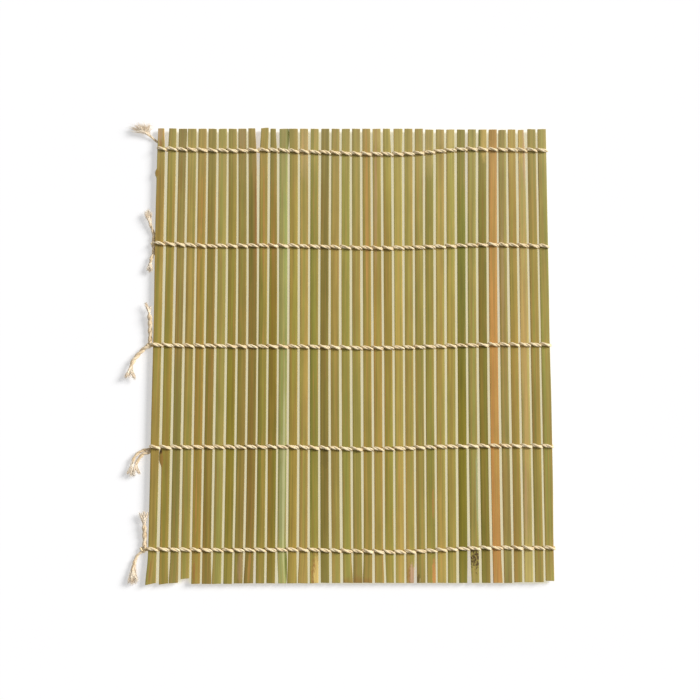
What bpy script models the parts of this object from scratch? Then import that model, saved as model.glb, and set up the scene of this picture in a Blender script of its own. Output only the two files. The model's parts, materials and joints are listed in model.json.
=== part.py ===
"""Rolling mat of bamboo slats, twined together by five rows of cotton twine.

The mat lies flat. X runs across the slats, from the side with the knots to the
side where the twine is folded. Y runs along the slats, and Z is up. The tables
are in millimetres, and the meshes are in metres.
"""
import bmesh
import bpy

MM = 0.001

# ---- driving sizes, mm -------------------------------------------------------
SLAT_PITCH = 5.49
SLAT_THICKNESS = 1.8
SLAT_CHAMFER = 0.3
SLAT_GRID = (-120.0, -60.0, 0.0, 60.0, 120.0)      # where a slat's line may bend
FAR_AT, MIDDLE_AT, NEAR_AT = 116.0, 0.0, -112.0    # where the table gives its shifts

CLEARANCE = 0.3          # left between neighbouring pieces
TWINE_HEIGHT = 1.1       # a stitch, pressed flat
CROWN_RISE = 0.3         # how far a stitch swells over the middle of a slat
STITCH_WIDTH = 1.5
CROSSING_WIDTH = 0.9     # a leg is squeezed where the two legs cross in a gap
CROSSING_OFFSET = 0.6    # from the row's line to each leg in a gap
CROSSING_DEPTH_LIMIT = 0.55
FOLD_THICKNESS = 0.7     # where the twine turns round the edge of the last slat

TAIL_TOP = 0.72          # share of a free end's width that its top has
TAIL_HEIGHT = 0.82       # its height, as a share of its width
ROOT_OVERLAP = 0.8       # how far a lock starts inside its tail
ROOT_SPREAD = 0.3        # from one lock's root to the next
APPROACH_REACH = 1.1     # a leg's end beyond the first slat, on its knot
APPROACH_DROP = 0.5
APPROACH_OFFSET = 0.3
LOCK_WIDTH, LOCK_HEIGHT = 1.3, 1.0        # a frayed lock at its fullest
TIP_WIDTH, TIP_HEIGHT = 0.25, 0.25        # and at its tip
LOCK_SECTIONS = ((0.0, 0.6), (0.5, 1.0), (1.0, 0.0))     # share of its length, fullness
LOCK_LIFT = 0.03         # keeps its underside off the tail's own
STEPS_PER_SPAN = 2       # stations between two points of a tail's route

SLAT_BOTTOM = TWINE_HEIGHT + CLEARANCE
SLAT_TOP = SLAT_BOTTOM + SLAT_THICKNESS
OVER_BASE = SLAT_TOP + CLEARANCE
OVER_TOP = OVER_BASE + TWINE_HEIGHT - CROWN_RISE

# ---- the slats, from the side with the knots --------------------------------
# tone; width; sideways shift of its centre line at the far end, the middle and
# the near end; where its far and near ends are cut
SLATS = (
    ("olive", 4.4, 0.3, 0.2, 0.0, 120.4, -121.1),
    ("olive", 4.4, 0.4, 0.4, 0.4, 120.4, -120.9),
    ("umber", 4.1, 0.4, 0.4, 0.4, 120.2, -120.3),
    ("olive", 4.4, 0.2, 0.4, 0.4, 120.2, -118.2),
    ("brown", 4.4, 0.1, 0.4, 0.4, 120.2, -120.6),
    ("umber", 4.4, 0.0, 0.4, 0.3, 120.2, -120.6),
    ("green", 4.4, 0.0, 0.5, 0.3, 120.2, -120.6),
    ("umber", 4.4, -0.2, 0.6, 0.3, 120.2, -120.6),
    ("umber", 4.4, -0.5, 0.6, 0.2, 120.2, -120.3),
    ("brown", 4.4, -0.6, 0.6, 0.2, 120.4, -120.3),
    ("olive", 4.4, 0.0, 0.4, 0.3, 120.8, -120.3),
    ("moss", 4.4, -0.2, 0.3, 0.3, 120.2, -120.3),
    ("jade", 4.4, -0.4, 0.1, 0.2, 120.2, -120.3),
    ("olive", 4.4, -0.4, 0.1, 0.2, 120.2, -120.3),
    ("light", 4.4, -0.4, 0.1, 0.3, 120.2, -120.3),
    ("umber", 4.4, -0.2, -0.1, 0.4, 120.2, -120.3),
    ("umber", 4.4, 0.0, -0.2, 0.4, 120.2, -120.1),
    ("olive", 4.4, 0.0, -0.2, 0.6, 120.2, -120.1),
    ("olive", 4.4, 0.0, 0.0, 0.8, 120.2, -120.1),
    ("olive", 4.4, 0.0, 0.1, 0.7, 120.2, -120.1),
    ("olive", 4.4, 0.0, 0.3, 0.5, 120.2, -120.1),
    ("light", 4.4, 0.0, 0.3, 0.6, 120.2, -120.1),
    ("olive", 4.4, 0.1, 0.3, 0.5, 120.2, -120.1),
    ("light", 4.4, 0.3, 0.3, 0.3, 120.2, -120.1),
    ("light", 4.4, 0.6, 0.2, 0.2, 120.2, -120.1),
    ("olive", 4.4, 0.7, 0.1, 0.1, 120.2, -120.1),
    ("green", 4.4, 0.8, 0.0, -0.1, 119.8, -120.1),
    ("light", 4.4, 1.0, 0.1, -0.3, 119.8, -120.1),
    ("light", 4.4, 1.1, 0.2, -0.5, 119.8, -120.1),
    ("moss", 4.4, 1.3, 0.3, -0.3, 119.8, -120.1),
    ("green", 4.4, 1.6, 0.3, 0.1, 119.8, -120.1),
    ("moss", 4.4, 1.8, 0.4, 0.3, 119.8, -120.1),
    ("tan", 4.4, 1.8, 0.5, 0.5, 119.8, -120.1),
    ("olive", 4.1, 1.4, 0.5, 0.5, 119.6, -120.1),
    ("light", 4.1, 1.0, 0.4, 0.2, 119.8, -119.8),
    ("straw", 4.4, 0.7, 0.3, 0.1, 119.6, -119.7),
    ("olive", 4.4, 0.6, 0.2, 0.0, 120.0, -119.7),
    ("green", 4.4, 0.6, 0.1, -0.1, 120.0, -119.1),
)
FAR_END_WIDTH = {1: 3.8, 12: 3.6, 36: 3.6}      # slats that taper to the far end

# ---- the rows of twine, from the far end ------------------------------------
# (slat, Y of the row there); straight between them
ROWS = {
    1: ((1, 109.0), (5, 108.2), (9, 107.7), (11, 108.5), (14, 107.6), (20, 106.1),
        (25, 105.9), (30, 108.8), (38, 108.0)),
    2: ((1, 57.2), (5, 55.7), (8, 55.7), (12, 56.0), (22, 54.5), (25, 54.7), (33, 56.6),
        (38, 55.5)),
    3: ((1, 2.9), (4, 2.2), (7, 2.3), (9, 1.9), (14, 2.0), (21, 1.1), (24, 1.3),
        (33, 2.9), (38, 2.8)),
    4: ((1, -50.8), (14, -50.6), (20, -51.8), (23, -51.7), (27, -50.7), (32, -50.1),
        (38, -50.2)),
    5: ((1, -103.0), (7, -103.5), (15, -103.1), (18, -103.8), (21, -104.0),
        (24, -104.5), (32, -102.2), (38, -102.4)),
}

# ---- the knots and their free ends ------------------------------------------
# Places are from the first slat's edge at the row: dx, negative away from the
# mat, and dy. A point of an end's route adds the lift of its underside. An end
# frays into locks, which are given by their tips.
KNOTS = {
    1: {"centre": (1.8, 0.3), "size": (2.6, 2.6, TWINE_HEIGHT), "under": True,
        "ends": (
            {"width": 1.3,
             "route": ((1.6, 1.0, 0.0), (0.7, 3.2, 0.0), (-1.0, 4.7, 0.0), (-2.7, 6.0, 0.0),
                       (-4.4, 7.4, 0.0), (-6.4, 8.6, 0.0)),
             "tips": ((-5.8, 13.0), (-8.6, 12.9), (-11.4, 12.8), (-14.6, 11.3))},
            {"width": 1.3,
             "route": ((1.8, -0.6, 0.0), (1.2, -3.6, 0.0), (0.9, -7.6, 0.0), (0.2, -10.4, 0.0)),
             "tips": ((-1.3, -12.6), (0.3, -13.0))},
        )},
    2: {"centre": (-1.6, 0.0), "size": (2.4, 2.6, 2.6), "under": False,
        "ends": (
            {"width": 1.5,
             "route": ((-1.6, 0.6, 0.7), (-1.3, 2.4, 0.5), (-1.4, 5.6, 0.0), (-2.5, 9.0, 0.0),
                       (-3.6, 12.0, 0.0)),
             "tips": ((-3.2, 17.4), (-4.6, 18.5), (-5.9, 17.2))},
            {"width": 1.6,
             "route": ((-1.6, -0.6, 0.7), (-1.4, -2.4, 0.5), (-1.8, -5.0, 0.0),
                       (-2.8, -7.8, 0.0), (-3.2, -10.4, 0.0)),
             "tips": ((-2.7, -14.9), (-4.0, -15.3), (-5.2, -14.6))},
        )},
    3: {"centre": (-1.9, 0.0), "size": (3.0, 3.0, 2.7), "under": False,
        "ends": (
            {"width": 2.1,
             "route": ((-1.7, 0.6, 0.7), (-1.6, 2.6, 0.5), (-1.8, 8.0, 0.0), (-1.9, 13.0, 0.0),
                       (-2.4, 17.0, 0.0)),
             "tips": ((-1.8, 20.4), (-4.5, 22.6))},
            {"width": 2.1,
             "route": ((-2.2, -0.2, 0.7), (-4.2, -1.4, 0.4), (-6.6, -3.8, 0.0),
                       (-9.2, -7.0, 0.0), (-10.6, -9.6, 0.0), (-11.4, -11.8, 0.0)),
             "tips": ((-14.1, -17.8), (-12.2, -17.2), (-9.0, -18.2))},
        )},
    4: {"centre": (1.8, 0.0), "size": (2.6, 2.6, TWINE_HEIGHT), "under": True,
        "ends": (
            {"width": 1.5,
             "route": ((1.4, 0.0, 0.0), (-0.7, -0.9, 0.0), (-3.4, -1.3, 0.0), (-6.8, -3.2, 0.0),
                       (-8.6, -5.8, 0.0), (-9.0, -8.4, 0.0)),
             "tips": ((-11.7, -13.9), (-9.9, -15.0))},
            {"width": 1.5,
             "route": ((1.8, -0.7, 0.0), (-0.6, -2.45, 0.0), (-3.2, -3.0, 0.0), (-4.9, -4.4, 0.0),
                       (-5.9, -6.4, 0.0), (-7.0, -9.2, 0.0)),
             "tips": ((-8.0, -15.1), (-5.6, -13.9))},
        )},
    5: {"centre": (-2.2, -0.1), "size": (3.6, 3.2, 2.8), "under": False,
        "ends": (
            {"width": 2.1,
             "route": ((-2.0, 0.6, 0.9), (-2.0, 3.0, 0.4), (-2.1, 8.0, 0.0), (-2.4, 13.0, 0.0)),
             "tips": ((-1.1, 19.0), (-2.9, 19.3), (-4.6, 18.4))},
            {"width": 1.6,
             "route": ((-2.8, -0.8, 0.7), (-5.0, -2.5, 0.3), (-6.4, -4.5, 0.0),
                       (-7.3, -7.6, 0.0), (-7.7, -11.0, 0.0)),
             "tips": ((-9.8, -17.0), (-8.1, -17.8), (-6.5, -17.6), (-5.0, -16.6))},
        )},
}

# ---- finishes: sRGB colour, roughness ---------------------------------------
FINISHES = {
    "olive": ((158, 142, 78), 0.6),
    "umber": ((145, 130, 67), 0.6),
    "brown": ((148, 126, 62), 0.6),
    "green": ((156, 145, 83), 0.6),
    "moss": ((136, 123, 55), 0.6),
    "jade": ((160, 156, 102), 0.6),
    "light": ((169, 150, 84), 0.6),
    "tan": ((187, 148, 88), 0.6),
    "straw": ((182, 162, 106), 0.6),
    "cotton": ((232, 213, 170), 0.9),
}


def linear(channel):
    """An sRGB channel from 0 to 255, as a linear value."""
    c = channel / 255
    return c / 12.92 if c <= 0.04045 else ((c + 0.055) / 1.055) ** 2.4


def finish(name):
    """The material of a finish, made once."""
    material = bpy.data.materials.get(name)
    if material is None:
        srgb, roughness = FINISHES[name]
        material = bpy.data.materials.new(name)
        material.use_nodes = True
        shader = material.node_tree.nodes["Principled BSDF"]
        shader.inputs["Base Color"].default_value = (*map(linear, srgb), 1.0)
        shader.inputs["Roughness"].default_value = roughness
        shader.inputs["Metallic"].default_value = 0.0
    return material


def add_object(name, mesh, material_name):
    mesh.materials.append(finish(material_name))
    placed = bpy.data.objects.new(name, mesh)
    bpy.context.scene.collection.objects.link(placed)
    return placed


def loft(rings, scale=MM):
    """A closed mesh through rings of equally many points, with flat ends."""
    bm = bmesh.new()
    loops = [[bm.verts.new([c * scale for c in point]) for point in ring] for ring in rings]
    sides = len(loops[0])
    for first, second in zip(loops, loops[1:]):
        for i in range(sides):
            j = (i + 1) % sides
            bm.faces.new((first[i], first[j], second[j], second[i]))
    bm.faces.new(loops[0])
    bm.faces.new(loops[-1])
    bmesh.ops.recalc_face_normals(bm, faces=bm.faces)
    mesh = bpy.data.meshes.new("loft")
    bm.to_mesh(mesh)
    bm.free()
    return mesh


def between(points, at):
    """The value at a place along straight lines through (place, value) points."""
    for (a, va), (b, vb) in zip(points, points[1:]):
        if at <= b:
            break
    return va + (vb - va) * (at - a) / (b - a)


# ---- slats -------------------------------------------------------------------
def bend(number, y):
    """A slat's sideways shift on the smooth curve through its three shifts."""
    _, _, far, middle, near, _, _ = SLATS[number - 1]
    to_far, to_middle, to_near = y - FAR_AT, y - MIDDLE_AT, y - NEAR_AT
    return (far * to_middle * to_near / ((FAR_AT - MIDDLE_AT) * (FAR_AT - NEAR_AT))
            + middle * to_far * to_near / ((MIDDLE_AT - FAR_AT) * (MIDDLE_AT - NEAR_AT))
            + near * to_far * to_middle / ((NEAR_AT - FAR_AT) * (NEAR_AT - MIDDLE_AT)))


def slat_edges(number, y):
    """X of a slat's two edges at Y."""
    grid_centre = (number - (len(SLATS) + 1) / 2) * SLAT_PITCH
    centre = grid_centre + between([(g, bend(number, g)) for g in SLAT_GRID], y)
    width = SLATS[number - 1][1]
    far_width = FAR_END_WIDTH.get(number, width)
    middle, far = SLAT_GRID[2], SLAT_GRID[-1]
    half = between(((middle, width), (far, far_width)), max(y, middle)) / 2
    return centre - half, centre + half


def build_slat(number):
    """One slat: a flat strip with chamfered edges, bent a little in its plane."""
    tone, _, _, _, _, far_cut, near_cut = SLATS[number - 1]
    c = SLAT_CHAMFER
    rings = []
    for y in (near_cut, *SLAT_GRID[1:-1], far_cut):
        left, right = slat_edges(number, y)
        rings.append((
            (left + c, y, SLAT_BOTTOM), (right - c, y, SLAT_BOTTOM),
            (right, y, SLAT_BOTTOM + c), (right, y, SLAT_TOP - c),
            (right - c, y, SLAT_TOP), (left + c, y, SLAT_TOP),
            (left, y, SLAT_TOP - c), (left, y, SLAT_BOTTOM + c),
        ))
    add_object(f"slat_{number:02d}", loft(rings), tone)


# ---- twine -------------------------------------------------------------------
def row_line(row, slat):
    """Y of a row's line; a half number of slat is the gap after it."""
    return between(ROWS[row], min(max(slat, 1), len(SLATS)))


def gap(row, after):
    """X of the middle of a gap and half the depth that a leg has in it."""
    y = row_line(row, after + 0.5)
    left = slat_edges(after, y)[1] if after >= 1 else None
    right = slat_edges(after + 1, y)[0] if after < len(SLATS) else None
    if left is None:
        return right - CLEARANCE - FOLD_THICKNESS / 2, FOLD_THICKNESS / 2
    if right is None:
        return left + CLEARANCE + FOLD_THICKNESS / 2, FOLD_THICKNESS / 2
    half = (right - left) / 2 - CLEARANCE
    return (left + right) / 2, min(half, CROSSING_DEPTH_LIMIT)


def section(y, width, upper, lower):
    """A four-sided ring across a leg, from an upper and a lower (x, z)."""
    near, far = y - width / 2, y + width / 2
    return ((upper[0], near, upper[1]), (upper[0], far, upper[1]),
            (lower[0], far, lower[1]), (lower[0], near, lower[1]))


def stitch(row, slat, over):
    """The rings of one leg over or under one slat, from left to right."""
    left_x, left_half = gap(row, slat - 1)
    right_x, right_half = gap(row, slat)
    side = 1 if over else -1
    left_y = row_line(row, slat - 0.5) + side * CROSSING_OFFSET
    right_y = row_line(row, slat + 0.5) - side * CROSSING_OFFSET
    middle_x, middle_y = (left_x + right_x) / 2, (left_y + right_y) / 2
    if over:
        return [
            section(left_y, CROSSING_WIDTH, (left_x - left_half, OVER_TOP),
                    (left_x + left_half, OVER_BASE)),
            section(middle_y, STITCH_WIDTH, (middle_x, OVER_TOP + CROWN_RISE),
                    (middle_x, OVER_BASE)),
            section(right_y, CROSSING_WIDTH, (right_x + right_half, OVER_TOP),
                    (right_x - right_half, OVER_BASE)),
        ]
    return [
        section(left_y, CROSSING_WIDTH, (left_x + left_half, TWINE_HEIGHT),
                (left_x - left_half, 0.0)),
        section(right_y, CROSSING_WIDTH, (right_x - right_half, TWINE_HEIGHT),
                (right_x + right_half, 0.0)),
    ]


def turned_over(ring):
    """A ring with its upper and lower sides swapped, for the way back."""
    upper_near, upper_far, lower_far, lower_near = ring
    return lower_near, lower_far, upper_far, upper_near


def knot_approach(row):
    """The rings at the knot of the leg over the first slat and of the one under it."""
    edge = slat_edges(1, row_line(row, 1))[0]
    y = row_line(row, 0.5)
    if KNOTS[row]["under"]:
        x, half = gap(row, 0)
        turn = section(y + CROSSING_OFFSET, CROSSING_WIDTH,
                       (x + half, TWINE_HEIGHT), (x - half, 0.0))
        lump = edge + KNOTS[row]["centre"][0] + KNOTS[row]["size"][0] / 2 + CLEARANCE
        stop = section(y, CROSSING_WIDTH, (lump, TWINE_HEIGHT), (lump, 0.0))
        return [turned_over(turn)], [stop]
    x = edge - APPROACH_REACH
    down = section(y + APPROACH_OFFSET, CROSSING_WIDTH,
                   (x, OVER_TOP - APPROACH_DROP), (x, OVER_BASE - APPROACH_DROP))
    stop = section(y - CROSSING_OFFSET, CROSSING_WIDTH, (edge, TWINE_HEIGHT), (edge, 0.0))
    return [down], [stop]


def build_twine(row):
    """One row: out over slat 1, round the last slat and back, as one strand."""
    out, back = [], []
    for slat in range(1, len(SLATS) + 1):
        odd = slat % 2 == 1
        out += stitch(row, slat, over=odd)
        back += stitch(row, slat, over=not odd)
    over_end, under_end = knot_approach(row)
    rings = over_end + out
    rings += [turned_over(ring) for ring in reversed(under_end + back[1:])]
    add_object(f"twine_{row}", loft(rings), "cotton")


# ---- knots and free ends -----------------------------------------------------
def smooth_route(points):
    """Stations on a Catmull-Rom curve through a route's own points, none below the floor."""
    padded = [points[0], *points, points[-1]]
    stations = []
    for before, a, b, after in zip(padded, padded[1:], padded[2:], padded[3:]):
        for step in range(STEPS_PER_SPAN):
            t = step / STEPS_PER_SPAN
            x, y, z = (
                0.5 * (2 * q + (r - p) * t + (2 * p - 5 * q + 4 * r - s) * t ** 2
                       + (3 * q - p - 3 * r + s) * t ** 3)
                for p, q, r, s in zip(before, a, b, after))
            stations.append((x, y, max(z, 0.0)))
    stations.append(points[-1])
    return stations


def across(stations, index):
    """The unit vector to the left of a route, in the plane."""
    ahead = stations[min(index + 1, len(stations) - 1)]
    behind = stations[max(index - 1, 0)]
    dx, dy = ahead[0] - behind[0], ahead[1] - behind[1]
    length = (dx * dx + dy * dy) ** 0.5
    return -dy / length, dx / length


def tail(route, width):
    """A free end: four-sided, narrower at its top, lying on its underside."""
    stations = smooth_route(route)
    base, top, height = width / 2, width * TAIL_TOP / 2, width * TAIL_HEIGHT
    rings = []
    for index, (x, y, z) in enumerate(stations):
        nx, ny = across(stations, index)
        rings.append((
            (x + nx * base, y + ny * base, z), (x - nx * base, y - ny * base, z),
            (x - nx * top, y - ny * top, z + height),
            (x + nx * top, y + ny * top, z + height)))
    return loft(rings, scale=1)


def lock(root, tip):
    """A frayed lock: three-sided, fullest half way, thin at its tip."""
    dx, dy = tip[0] - root[0], tip[1] - root[1]
    length = (dx * dx + dy * dy) ** 0.5
    nx, ny = -dy / length, dx / length
    rings = []
    for along, fullness in LOCK_SECTIONS:
        x, y = root[0] + dx * along, root[1] + dy * along
        half = (TIP_WIDTH + (LOCK_WIDTH - TIP_WIDTH) * fullness) / 2
        height = TIP_HEIGHT + (LOCK_HEIGHT - TIP_HEIGHT) * fullness
        rings.append(((x + nx * half, y + ny * half, LOCK_LIFT),
                      (x - nx * half, y - ny * half, LOCK_LIFT),
                      (x, y, LOCK_LIFT + height)))
    return loft(rings, scale=1)


def lump(centre, size):
    """The knot itself, a rounded lump."""
    bm = bmesh.new()
    bmesh.ops.create_icosphere(bm, subdivisions=1, radius=1.0)
    low = min(v.co.z for v in bm.verts)
    for v in bm.verts:
        v.co.x = centre[0] + v.co.x * size[0] / 2
        v.co.y = centre[1] + v.co.y * size[1] / 2
        v.co.z = (v.co.z - low) * size[2] / 2
    mesh = bpy.data.meshes.new("lump")
    bm.to_mesh(mesh)
    bm.free()
    return mesh


def fused(meshes):
    """One mesh from several that overlap, in millimetres."""
    scene = bpy.context.scene.collection.objects
    parts = [bpy.data.objects.new("fusing", mesh) for mesh in meshes]
    for piece in parts:
        scene.link(piece)
    body = parts[0]
    for piece in parts[1:]:
        union = body.modifiers.new("fuse", "BOOLEAN")
        union.operation = "UNION"
        union.solver = "EXACT"
        union.object = piece
    bpy.context.view_layer.update()
    evaluated = body.evaluated_get(bpy.context.evaluated_depsgraph_get())
    mesh = bpy.data.meshes.new_from_object(evaluated)
    for piece in parts:
        bpy.data.objects.remove(piece)
    return mesh


def build_knot(row):
    """A knot with its two frayed ends, fused into one body."""
    knot = KNOTS[row]
    meshes = [lump(knot["centre"], knot["size"])]
    for end in knot["ends"]:
        meshes.append(tail(end["route"], end["width"]))
        (back_x, back_y, _), (x, y, _) = end["route"][-2:]
        reach = ROOT_OVERLAP / ((x - back_x) ** 2 + (y - back_y) ** 2) ** 0.5
        for place, tip in enumerate(end["tips"]):
            spread = (place - (len(end["tips"]) - 1) / 2) * ROOT_SPREAD
            root = (x + (back_x - x) * reach + spread, y + (back_y - y) * reach)
            meshes.append(lock(root, tip))
    mesh = fused(meshes)
    edge = slat_edges(1, row_line(row, 1))[0]
    for v in mesh.vertices:
        v.co.x = (v.co.x + edge) * MM
        v.co.y = (v.co.y + row_line(row, 1)) * MM
        v.co.z = v.co.z * MM
    add_object(f"knot_{row}", mesh, "cotton")


def centre_footprint():
    """Move the mat so that the origin is under the centre of its footprint."""
    pieces = list(bpy.context.scene.objects)
    corners = [v.co for piece in pieces for v in piece.data.vertices]
    for axis in (0, 1):
        low = min(c[axis] for c in corners)
        high = max(c[axis] for c in corners)
        for piece in pieces:
            piece.location[axis] = -(low + high) / 2


def main():
    for old in list(bpy.data.objects):
        bpy.data.objects.remove(old)
    for number in range(1, len(SLATS) + 1):
        build_slat(number)
    for row in ROWS:
        build_twine(row)
        build_knot(row)
    centre_footprint()


main()
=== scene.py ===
import json
import math

import bmesh
import bpy
import numpy as np
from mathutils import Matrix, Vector


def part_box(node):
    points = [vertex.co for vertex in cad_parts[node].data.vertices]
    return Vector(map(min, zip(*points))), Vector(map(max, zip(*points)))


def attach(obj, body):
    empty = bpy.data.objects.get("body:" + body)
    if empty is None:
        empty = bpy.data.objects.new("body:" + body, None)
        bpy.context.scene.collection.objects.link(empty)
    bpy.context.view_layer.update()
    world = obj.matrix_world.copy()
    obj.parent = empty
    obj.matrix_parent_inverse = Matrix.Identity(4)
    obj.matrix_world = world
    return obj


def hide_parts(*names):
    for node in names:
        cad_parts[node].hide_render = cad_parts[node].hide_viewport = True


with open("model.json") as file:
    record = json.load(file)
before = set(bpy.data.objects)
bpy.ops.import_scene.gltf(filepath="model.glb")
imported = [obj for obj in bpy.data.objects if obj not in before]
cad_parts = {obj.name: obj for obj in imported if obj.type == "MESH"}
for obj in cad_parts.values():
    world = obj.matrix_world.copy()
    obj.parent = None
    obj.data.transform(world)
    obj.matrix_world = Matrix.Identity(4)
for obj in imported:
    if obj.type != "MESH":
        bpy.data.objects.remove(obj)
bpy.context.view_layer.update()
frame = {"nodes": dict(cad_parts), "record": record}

MM = 0.001
LAY = "lay"  # the UV map: millimetres across and along the grain
SLAT_COUNT = 38
MIDDLE_SLAT = 20  # its height and its ends stand for the whole mat's
ROW_COUNT = 5

# ---- sizes -------------------------------------------
STATION_STEP = 3.0  # from one section of a slat to the next
FINE_STEP = 0.6  # the least step, next to an end or over a bump
BUMP_STEPS = 8  # at most, in half a bump's length
END_MARGIN = 2.0  # from an end to the first plain section
END_BEVEL = 0.1
CUT_REACH = 4.0  # how far from a slanted cut the sections lean with it
CUT_SWELL = 0.02  # how far the middle of a cut stands out
CUT_SLANT, CUT_RAGGED = 0.15, 0.05  # of a cut that isn't in the table
FLARE_REACH = 9.0  # how far from an end its flare fades
TOP_RADIUS, BOTTOM_RADIUS = 0.2, 0.22
CORNER_STEPS = 4
SKIN_DEPTH = 0.4  # how far down its sides a slat is still green
SKIN_SHARES = (0.22, 0.36, 0.5, 0.64, 0.78)  # where the skin has points across it
CROWN = 0.1  # the skin side is a little rounded
CROWN_WANDER = 0.03  # how far short of that it is, on average
NOMINAL_WIDTH = 4.4
EDGE_WANDER = 0.09  # how far an edge strays into its own slat
ON_SKIN, ON_WOOD, ON_CUT = 0, 1, 2  # a slat's materials in its mesh

PLY_RADIUS = 0.55  # over a slat
PLY_GAP_RADIUS = 0.36  # squeezed between two slats
PLY_UNDER_RADIUS = 0.37
PLY_SPREAD = 0.6  # from the twine's line to a ply's, in ply radii
TWIST_LENGTH = 9.0  # one full turn of the plies
TWIST_SWAY = 0.7  # radians: how far the twist runs ahead or lags
UNEVEN = 0.05  # how much a ply's radius comes and goes, as a share of it
ROW_STEP = 0.26
PLY_SIDES = 10
CROSSING_OFFSET = 0.6  # from the row's line to each leg in a gap
STITCH_JITTER = 0.12
FOLD_OUT, FAR_FOLD_OUT = 0.32, 0.65  # from an outer edge to the twine's line round it
FOLD_SQUEEZE = 0.75  # what is left of the plies' radius there
FOLD_REACH = 0.6  # how far from there the squeeze fades
UNDER_LINE = 0.68  # height of the twine's line under a slat
OVER_RISE = 0.86  # and above a slat's top
SHOULDER_RISE = 0.66  # the same near the slat's edges

KNOT_PLY_RADIUS = 0.38
KNOT_TWIST_LENGTH = 3.6
KNOT_INSET = 0.55  # from a knot's size to its line
KNOT_LOWEST = 0.45  # its line's lowest place
KNOT_POINTS = 90
TAIL_PLY_SHARE = 0.36  # a ply's radius, as a share of its free end's width
TAIL_TWIST_LENGTH = 8.0
TAIL_RISE = 1.7  # how far an end springs up towards its tips
TAIL_STEP = 0.25
TAIL_THINNING = 0.6  # how much of its plies has gone into fibres at its end
TAIL_UNEVEN = 0.06
TIP_LOWEST = 0.4
YARNS = (12, 0.2, 5)  # in a lock: how many, their radius and their sides
HAIRS = (70, 0.045, 3)
FIBRE_POINTS = 9
ROOT_SPREAD = 0.22  # how far from an end's line its fibres start
IN_TWINE, IN_END, IN_FLUFF = 0, 1, 2  # the cottons in a mesh of twine

STRAY_HAIRS = 260  # on a row of twine
STRAY_HAIRS_PER_MM = 5  # on a free end
STRAY_ABOVE = 0.5  # a row's hairs start this far above the slats
STRAY_RADIUS = 0.5  # of the strand that they start from
STRAY_REACH = 1.2
STRAY_LOWEST = 0.08
STRAY_TAPER = (0.022, 0.01)
STRAY_POINTS, STRAY_SIDES = 5, 3

LEVEL = 0.02  # heights this close count as one
WELD = 0.001  # corners this close are joined
CREASE = 50  # degrees: a slat's sharper edges stay sharp
TUBE_SHIFT = 11.7  # from the grain of one tube to the next one's
CURVE_STEPS = 12  # between two points of a smooth line

# ---- colours: sRGB, 0 to 255 -------------------------
TONES = {
    "olive": (154, 137, 68), "umber": (141, 125, 58), "brown": (144, 121, 54),
    "green": (152, 140, 72), "moss": (132, 118, 46), "jade": (156, 150, 90),
    "light": (164, 144, 73), "tan": (182, 143, 78), "straw": (178, 156, 93),
}
# Stain colours; dark green and bark also serve as painted shade at the narrow gaps beside slats 13 and
# 38.
STAINS_AND_PAINTED_SHADE = {
    "pink": (196, 158, 128), "rust": (150, 96, 52), "bark": (72, 52, 28),
    "dark green": (104, 108, 40), "straw": (196, 172, 116), "pale": (186, 184, 134),
    "cool": (160, 168, 122), "orange": (198, 140, 78), "brown": (138, 104, 48),
    "green": (138, 136, 66), "leaf": (130, 118, 22), "gold": (186, 161, 94),
    "dry": (190, 174, 122),
}
WOOD, WOOD_FIBRE = (222, 203, 158), (176, 146, 92)
CUT, PORE = (228, 210, 168), (120, 92, 52)
# Cotton in the twine, in the free ends and in their fluff: plain, deep, single hairs.
# The free ends' cotton is a darker copy of the twine's, painted shade, and the fluff's
# a lighter copy, painted light that offsets the shade among its fibres.
COTTONS = {
    "cotton": ((244, 227, 189), (239, 215, 171), (208, 170, 120)),
    "cotton_end": ((232, 212, 180), (214, 190, 154), (190, 154, 112)),
    "cotton_fluff": ((250, 238, 218), (244, 226, 200), (228, 198, 158)),
}
FLOOR = (200, 200, 202)

SHADES = {"deep": 0.86, "dim": 0.93, "plain": 1.0, "fair": 1.07, "bright": 1.14}
ENDS = {"dark": 0.84, "dim": 0.92, "plain": 1.0, "pale": 1.12, "bleached": 1.25}
CASTS = {
    "plain": (1.0, 1.0, 1.0), "green": (0.95, 1.03, 0.95), "warm": (1.05, 0.98, 0.92),
    "rich": (1.0, 1.0, 0.82), "grey": (1.0, 1.0, 1.2),
}
GREENER, BROWNER = (0.93, 1.015, 0.92), (1.08, 0.975, 0.96)  # the stripes of a tone
# How a slat differs from its tone: its body, its far end, its near end, its cast.
LOOKS = {
    2: "dim plain dim rich", 3: "plain dark plain grey", 4: "plain plain pale plain",
    5: "bright plain plain plain", 6: "dim plain plain warm", 8: "plain plain plain rich",
    9: "dim plain plain plain", 10: "deep bleached plain plain", 11: "dim pale plain rich",
    12: "plain plain plain rich", 13: "plain dark bleached green", 14: "plain plain plain rich",
    15: "plain pale plain plain", 16: "bright plain pale green", 17: "deep pale pale plain",
    18: "plain plain pale plain", 19: "fair dim dim green", 20: "plain plain dark plain",
    21: "plain plain dim warm", 22: "dim pale plain warm", 23: "plain pale plain rich",
    24: "bright plain plain plain", 25: "plain plain dim plain", 26: "plain plain dark plain",
    27: "dim pale pale rich", 28: "fair dark plain plain", 29: "plain pale plain green",
    30: "plain plain plain green", 31: "plain plain pale plain", 33: "plain plain plain warm",
    34: "plain plain dark grey", 35: "dim bleached plain warm", 36: "fair plain pale plain",
    38: "fair pale plain plain",
}
PLAIN_LOOK = "plain plain plain plain"
# Lightness and paleness along the mat: (share of its length, light, pale)
ALONG = ((0.0, 1.02, 0.10), (0.12, 0.93, 0.0), (0.35, 0.94, 0.0), (0.6, 1.0, 0.02),
         (0.85, 1.05, 0.14), (1.0, 1.03, 0.4))
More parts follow.
